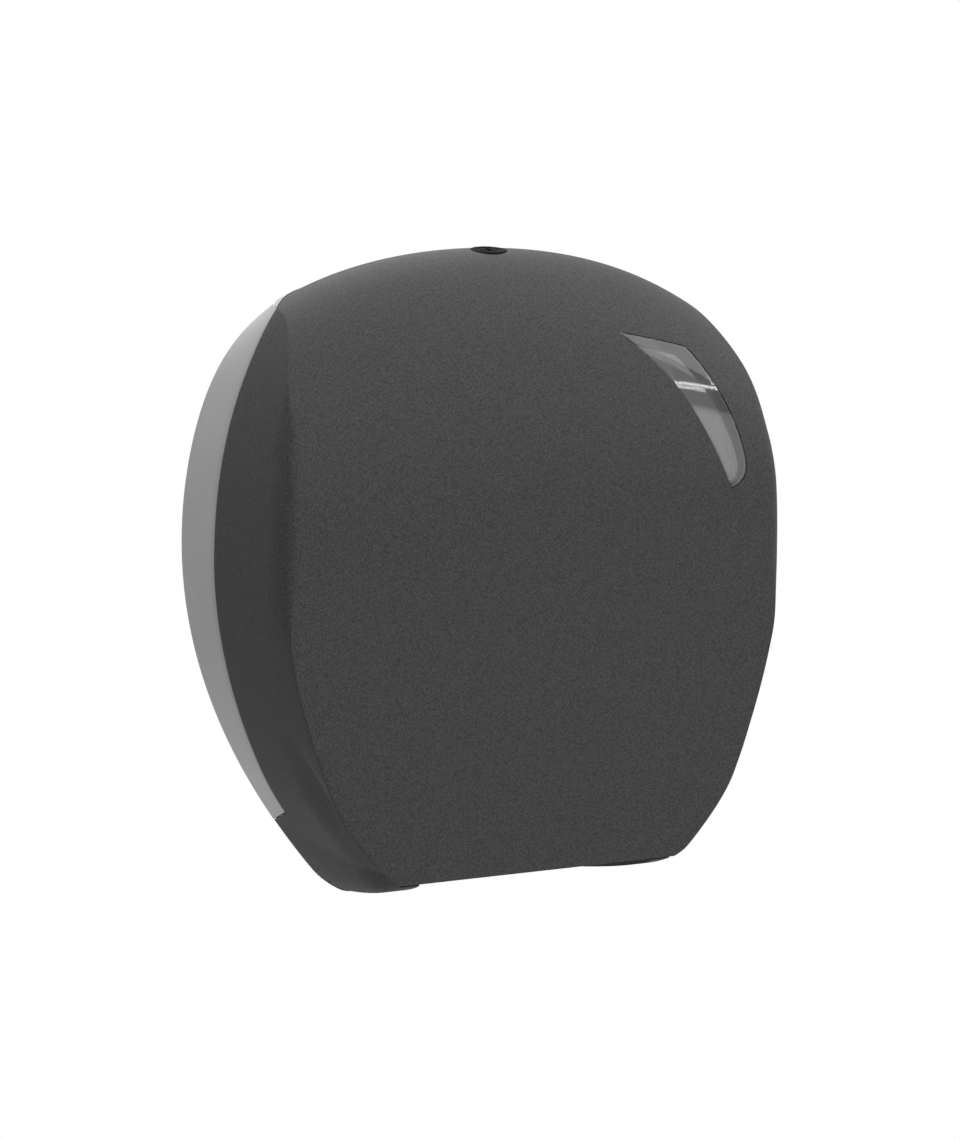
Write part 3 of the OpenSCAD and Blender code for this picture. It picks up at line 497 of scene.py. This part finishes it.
def crescent(grow, t, columns=13):
    """Grid of the crescent at inset t: columns run from its outer to its inner edge."""
    outer, inner = window_edges(grow)
    s_out = np.linspace(0, 1, len(outer))
    s_in = np.linspace(0, 1, len(inner))
    inner = np.stack([np.interp(s_out, s_in, inner[:, k]) for k in (0, 1)], -1)
    v = np.linspace(0, 1, columns)[None, :, None]
    flat = lerp(outer[:, None], inner[:, None], v)
    x, z = flat[..., 0], flat[..., 1]
    return np.stack([x, -face_depth(x, z, t), z], -1)


def carve(mesh, shape, operation):
    """Takes a closed shape away from a mesh, or adds it, and returns the result."""
    body = bpy.data.objects.new("carve_body", mesh)
    tool = bpy.data.objects.new("carve_tool", shape)
    for o in (body, tool):
        bpy.context.scene.collection.objects.link(o)
    change = body.modifiers.new("carve", "BOOLEAN")
    change.object, change.operation, change.solver = tool, operation, "EXACT"
    bpy.context.view_layer.update()
    result = bpy.data.meshes.new_from_object(body.evaluated_get(bpy.context.evaluated_depsgraph_get()))
    result.name = mesh.name
    for o in (body, tool):
        bpy.data.objects.remove(o)
    return result


def turned(name, profile, steps=64, closed=False):
    """A profile of [radius, height] turned about its own axis. It runs from the axis to the axis,
    or is closed on itself."""
    profile = np.array(profile, float)
    a = np.linspace(0, 2 * math.pi, steps, endpoint=False)[None]
    r, h = profile[:, :1], profile[:, 1:] + 0 * a
    grid = np.stack([r * np.cos(a), r * np.sin(a), h], -1)
    number = np.arange(len(profile) * steps).reshape(-1, steps)
    after, below = np.roll(number, -1, 1), np.roll(number, -1, 0)
    faces = np.stack([number, after, np.roll(after, -1, 0), below], -1)
    if not closed:
        faces = faces[:-1]
    mesh = bpy.data.meshes.new(name)
    mesh.from_pydata((grid.reshape(-1, 3) * MM).tolist(), [], faces.reshape(-1, 4).tolist())
    return mesh


lock_d = 51.0
lock_run = (lock_d - crest_d) / (depth - crest_d)
lock_rise = math.sqrt(1 - lock_run ** 2)
lock_z = roll_start_z + (roof_z - roll_start_z) * lock_rise
lock_tilt = math.atan((roof_z - roll_start_z) / (depth - crest_d) * lock_run / lock_rise)


def placed(mesh, axis, angle, place):
    """Turns a mesh made along +Z about an axis and moves it to its place in millimetres."""
    mesh.transform(Matrix.Translation(Vector(place) * MM) @ Matrix.Rotation(angle, 4, axis))
    return mesh


def at_lock(mesh):
    """Moves a mesh made along +Z to the lock's place, square to the roof."""
    return placed(mesh, "X", lock_tilt, (0, -lock_d, lock_z))


def rod(name, radius, low, high):
    """A short round bar with a 0.4 mm edge at each end, made along +Z."""
    return turned(name, [[0, low], [radius - 0.4, low], [radius, low + 0.4], [radius, high - 0.4],
                         [radius - 0.4, high], [0, high]], 32)


hole_outer, hole_inner = window_edges(0)
hole = np.concatenate([hole_outer, hole_inner[-2:0:-1]])
near = np.stack([hole[:, 0], np.full(len(hole), -80.0), hole[:, 1]], -1)
far = near + [0, -60, 0]
count = len(hole)
ring = np.arange(count)
walls = np.stack([ring, ring + count, (ring + 1) % count + count, (ring + 1) % count], -1)
window_cutter = bpy.data.meshes.new("window_cutter")
window_cutter.from_pydata((np.concatenate([near, far]) * MM).tolist(), [],
                          walls.tolist() + [ring.tolist(), (ring[::-1] + count).tolist()])
barrel_hole_r, seat_r, seat_floor = 7.75, 10.2, -0.9
seat_cutter = at_lock(turned("seat_cutter", [[0, -16], [barrel_hole_r, -16], [barrel_hole_r, seat_floor],
                                             [seat_r, seat_floor], [seat_r, 8], [0, 8]]))

# inside: a pad under the lock, three bosses for the tear bar, and a boss and a web for each hinge pin
bar_screw_x, bar_screw_z, bar_boss_d = (-44.0, 0.0, 44.0), -152.0, 124.8
added = [at_lock(rod("lock_pad", 14.0, -5.0, -2.2))]
taken = [window_cutter, seat_cutter]
for x in bar_screw_x:
    bar_place = (x, -bar_boss_d, bar_screw_z)
    added.append(placed(rod("bar_boss", 3.4, 0, 3.7), "X", math.pi / 2, bar_place))
    taken.append(placed(rod("bar_bore", 1.15, -2, 4.1), "X", math.pi / 2, bar_place))
boss_end = float(inner_x(hinge_d, hinge_z, cover_wall)) - 0.4
for side in (-1, 1):
    hinge_place = (side * foot_inner_x, -hinge_d, hinge_z)
    hinge_turn = side * math.pi / 2
    added.append(placed(rod("hinge_boss", 5.5, 0, boss_end - foot_inner_x), "Y", hinge_turn, hinge_place))
    taken.append(placed(rod("hinge_bore", 2.52, -3, 12.5), "Y", hinge_turn, hinge_place))
    web_x = np.array([foot_inner_x + 2, boss_end]) * side
    web_y = np.array([-hinge_d - 1.5, -hinge_d + 1.5])
    web_z = np.array([hinge_z, hinge_z + 9.5])
    web = np.stack(np.meshgrid(np.sort(web_x), web_y, web_z, indexing="ij"), -1).reshape(-1, 3)
    web_mesh = bpy.data.meshes.new("hinge_web")
    web_mesh.from_pydata((web * MM).tolist(), [], [(0, 1, 3, 2), (4, 6, 7, 5), (0, 4, 5, 1), (2, 3, 7, 6),
                                                   (0, 2, 6, 4), (1, 5, 7, 3)])
    added.append(web_mesh)
for shape in added:
    cover_mesh = carve(cover_mesh, shape, "UNION")
for shape in taken:
    cover_mesh = carve(cover_mesh, shape, "DIFFERENCE")
tidy_mesh(cover_mesh, math.radians(35))
new_piece("cover_shell", cover_mesh, "cover", "cover", "front_cover")


def new_material(name):
    """An empty material with its tree, its Principled shader's inputs and object coordinates."""
    paint = bpy.data.materials.new(name)
    paint.use_nodes = True
    tree = paint.node_tree
    shader = tree.nodes["Principled BSDF"]
    place = make_node(tree, "ShaderNodeTexCoord", {}, {}, "Object")
    return paint, tree, shader, place


def noise(tree, place, scale, detail=2.0, roughness=0.5):
    """Noise of about 1 / scale metres a bump, from 0 to 1."""
    return make_node(tree, "ShaderNodeTexNoise", {},
                     {"Vector": place, "Scale": scale, "Detail": detail, "Roughness": roughness})


def connect(tree, shader, **links):
    for name, wire in links.items():
        tree.links.new(wire.socket, shader.inputs[name.replace("_", " ")])


speckled, tree, shader, place = new_material("speckled_grey")
grain = noise(tree, place, 800.0, 2.0, 0.7)
fine = noise(tree, place, 1700.0, 1.0)
speck = (grain * 0.4 + fine * 0.6).ramp(0.36, 0.66)
connect(tree, shader, Base_Color=speck.between(grey(62), grey(85)))
bump = make_node(tree, "ShaderNodeBump", {},
                 {"Strength": 0.8, "Distance": 0.00035, "Height": grain * 0.5 + fine * 0.5})
connect(tree, shader, Normal=bump)
shader.inputs["Roughness"].default_value = 0.58
shader.inputs["Specular IOR Level"].default_value = 0.05
cover_mesh.materials.append(speckled)

# ---------------------------------------------------------------------------
# Level window: a crescent of clear plastic with a faint haze, flush with the
# face, on a ledge that is glued behind the cover. The paper level shows through it.
# ---------------------------------------------------------------------------

window_layers = [crescent(-0.65, 0.0), crescent(-0.35, 0.3), crescent(-0.35, 3.35),
                 crescent(3.0, 3.35), crescent(3.0, 5.55)]
window_mesh = stacked_mesh("level_window", window_layers)
tidy_mesh(window_mesh, math.radians(35))
new_piece("window", window_mesh, "cover", "clear", "level_window")

clear, tree, shader, place = new_material("clear_plastic")
through = make_node(tree, "ShaderNodeBsdfTransparent", {}, {"Color": (0.93, 0.935, 0.94, 1)})
shine = make_node(tree, "ShaderNodeBsdfGlossy", {}, {"Color": (1, 1, 1, 1), "Roughness": 0.05})
facing = make_node(tree, "ShaderNodeLayerWeight", {}, {"Blend": 0.5}, "Facing")
edge = facing ** 5.0 * 0.9 + 0.04
haze = make_node(tree, "ShaderNodeBsdfDiffuse", {}, {"Color": (0.9, 0.92, 0.95, 1)})
hazy = make_node(tree, "ShaderNodeMixShader", {}, {0: 0.03, 1: through, 2: haze})
pane = make_node(tree, "ShaderNodeMixShader", {}, {0: edge, 1: hazy, 2: shine})
clear_out = [n for n in tree.nodes if n.type == "OUTPUT_MATERIAL"][0]
tree.links.new(pane.socket, clear_out.inputs["Surface"])
window_mesh.materials.append(clear)

# ---------------------------------------------------------------------------
# Side walls: light grey satin mouldings that close the gap between the cover
# and the wall, with a lip that runs on under the cover's rear edge and an upper
# end that wraps over the roof's corner.
# ---------------------------------------------------------------------------

flank_wall, plate_wall, tuck, flank_land = 1.8, 3.0, 5.0, 8.0


def flank_sections(n=90):
    """Sections from the top to the foot. Each runs from the wall along the outside to the cover,
    steps in below it, runs on under it, and comes back along the inside to the flange."""
    z0 = np.linspace(tip_z + 0.6, foot_back_z + 0.12, n + 1)
    k = 0.387 * ease((-110 - z0) / 44)
    reach = np.maximum(7, reveal(z0 + k * 30) - 0.6)
    step = cover_wall + 0.4 + flank_wall
    land = flank_wall + flank_land * (1 - ease((-120 - z0) / 10))
    near_wall = np.full_like(z0, plate_wall + 0.2)
    zero = 0 * z0
    rim = [(zero + 0.4, zero), (reach - 0.5, zero), (reach - 0.15, zero + 0.12), (reach, zero + 0.5),
           (reach, zero + step - flank_wall),
           (reach + tuck, zero + step - flank_wall), (reach + tuck, zero + step),
           (np.maximum(5.6, reach - 2), zero + step), (np.maximum(5.4, reach - 5), zero + flank_wall),
           (near_wall + 2, zero + flank_wall), (near_wall + 2, land + 0.01), (near_wall, land),
           (near_wall, zero + flank_wall), (zero, zero + flank_wall), (zero, zero + 0.4)]
    outside = [(lerp(rim[0][0], rim[1][0], u), zero) for u in np.linspace(0, 1, 9)[1:-1]]
    rim = rim[:1] + outside + rim[1:]
    lean = (side_x(0, z0 + 1) - side_x(0, z0 - 1)) / 2
    sections = []
    for d, into in rim:
        z = z0 + k * d
        sections.append(np.stack([side_x(d, z) - into * np.sqrt(1 + lean ** 2), -d, z], -1))
    return np.transpose(np.array(sections), (1, 0, 2))


def tube_mesh(name, sections, flip):
    """A closed sweep: quads between the sections and a polygon at each end."""
    n, m = sections.shape[:2]
    number = np.arange(n * m).reshape(n, m)
    after = np.roll(number, -1, 1)
    faces = np.stack([number[:-1], number[1:], after[1:], after[:-1]], -1).reshape(-1, 4).tolist()
    faces += [number[0].tolist(), number[-1][::-1].tolist()]
    if flip:
        faces = [f[::-1] for f in faces]
    mesh = bpy.data.meshes.new(name)
    mesh.from_pydata((sections.reshape(-1, 3) * MM).tolist(), [], faces)
    return mesh


def shoulder_cap(sign):
    """The wall's upper end that wraps over the roof's corner: the roof's own surface between the
    seam and the side, 1.8 mm thick, from the wall to the tip."""
    d = np.linspace(0, 38.4, 49)[:, None]
    z_side = np.full_like(d, tip_z)
    for _ in range(20):
        z_side = roof_z - arch(side_x(d, z_side)) - roof_sag * ((crest_d - d) / crest_d) ** 2
    x = lerp(side_x(d, z_side), seam_x(d) + 0.3, np.linspace(0, 1, 13)[None])
    top = roof_z - arch(x) - roof_sag * ((crest_d - d) / crest_d) ** 2
    layers = [np.stack(np.broadcast_arrays(sign * x, -d, top - drop), -1) for drop in (-0.5, 1.3)]
    return stacked_mesh("shoulder_cap", layers if sign < 0 else [g[:, ::-1] for g in layers])


flank_meshes = []
for name, sign in (("right_flank", 1), ("left_flank", -1)):
    flank_mesh = tube_mesh(name, flank_sections() * [sign, 1, 1], sign < 0)
    flank_mesh = carve(flank_mesh, shoulder_cap(sign), "UNION")
    tidy_mesh(flank_mesh, math.radians(35))
    new_piece(name + "_wall", flank_mesh, "shell", "shell", name)
    flank_meshes.append(flank_mesh)

def pale_plastic(name, low, high):
    """Smooth pale plastic whose grey drifts slowly between two levels."""
    paint, tree, shader, place = new_material(name)
    cloud = noise(tree, place, 14.0, 2.0)
    tint = (0.98, 0.99, 1.01)
    connect(tree, shader, Base_Color=cloud.ramp(0.3, 0.7).between(grey(low, tint), grey(high, tint)))
    shader.inputs["Roughness"].default_value = 0.35
    return paint


pale = pale_plastic("pale_grey", 154, 161)
# The back plate's grey is partly its own pale grey and partly painted light. It is set near white so that
# the inside of the shell looks lit, standing in for the light that the real shell's translucent walls let
# in.
pale_plate_with_painted_light = pale_plastic("pale_grey_plate_painted_light", 232, 238)
for flank_mesh in flank_meshes:
    flank_mesh.materials.append(pale)


def dress(material, *names):
    """Gives CAD nodes a material in place of their plain one."""
    for name in names:
        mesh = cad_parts[name].data
        mesh.materials.clear()
        mesh.materials.append(material)


# painted light: the back plate and the lock strike take the near-white plate grey that stands in for
# light inside the shell
dress(pale_plate_with_painted_light, "back_plate", "lock_strike")

# ---------------------------------------------------------------------------
# Black mouldings: the post, the hub that turns on it, and the lock's nut and
# plug. All are matt, with a fine moulded texture.
# ---------------------------------------------------------------------------

black, tree, shader, place = new_material("black_plastic")
mottle = noise(tree, place, 300.0, 2.0)
connect(tree, shader, Base_Color=mottle.ramp(0.3, 0.7).between(grey(18), grey(28)))
shader.inputs["Roughness"].default_value = 0.7
shader.inputs["Specular IOR Level"].default_value = 0.02
dress(black, "spindle_post", "core_hub", "lock_nut", "lock_plug")

# ---------------------------------------------------------------------------
# Lock rosette: the round head of the lock's black housing, with a rounded rim
# and a shallow ring round the plug. It sits in the roof's seat, barrel downwards.
# ---------------------------------------------------------------------------

rosette_profile = [[4.55, -20], [7.5, -20], [7.5, -0.8], [9.75, -0.8], [9.95, -0.6], [9.95, -0.12],
                   [9.8, 0.02], [9.5, 0.08], [7.2, 0.08], [6.9, -0.08], [6.5, -0.25],
                   [4.75, -0.25], [4.55, -0.4]]
rosette_mesh = at_lock(turned("lock_rosette", rosette_profile, 96, closed=True))
tidy_mesh(rosette_mesh, math.radians(30))
new_piece("lock_rosette", rosette_mesh, "cover", "black", "lock_housing")
rosette_mesh.materials.append(black)

# ---------------------------------------------------------------------------
# Brake washer: pressed fibre that slows the hub when paper is pulled.
# ---------------------------------------------------------------------------

fibre, tree, shader, place = new_material("fibre")
strands = noise(tree, place, 900.0, 4.0, 0.7)
warm = (1.05, 1, 0.9)
connect(tree, shader, Base_Color=strands.ramp(0.3, 0.7).between(grey(112, warm), grey(140, warm)))
shader.inputs["Roughness"].default_value = 0.9
dress(fibre, "brake_washer")

# ---------------------------------------------------------------------------
# Steel pieces: zinc-plated screws, washer, pins and the lock's cam.
# ---------------------------------------------------------------------------

steel, tree, shader, place = new_material("zinc_steel")
cloudy = noise(tree, place, 260.0, 3.0)
connect(tree, shader, Base_Color=cloudy.ramp(0.3, 0.7).between(grey(168), grey(196)),
        Roughness=cloudy * 0.2 + 0.22)
shader.inputs["Metallic"].default_value = 1.0
dress(steel, "spindle_screws", "hub_washer", "hub_screw", "tear_bar_screws", "strike_screws",
      "hinge_pin_left", "hinge_pin_right", "lock_cam", "cam_screw")

# ---------------------------------------------------------------------------
# Tear bar: a stamped strip of stainless steel with pointed teeth, brushed lengthwise.
# ---------------------------------------------------------------------------

blade, tree, shader, place = new_material("brushed_steel")
drawn = make_node(tree, "ShaderNodeMapping", {}, {"Vector": place, "Scale": (0.03, 1.0, 1.0)})
brushed = noise(tree, drawn, 2400.0, 2.0)
connect(tree, shader, Base_Color=brushed.ramp(0.2, 0.8).between(grey(178), grey(204)),
        Roughness=brushed * 0.25 + 0.2)
shader.inputs["Metallic"].default_value = 1.0
dress(blade, "tear_bar")
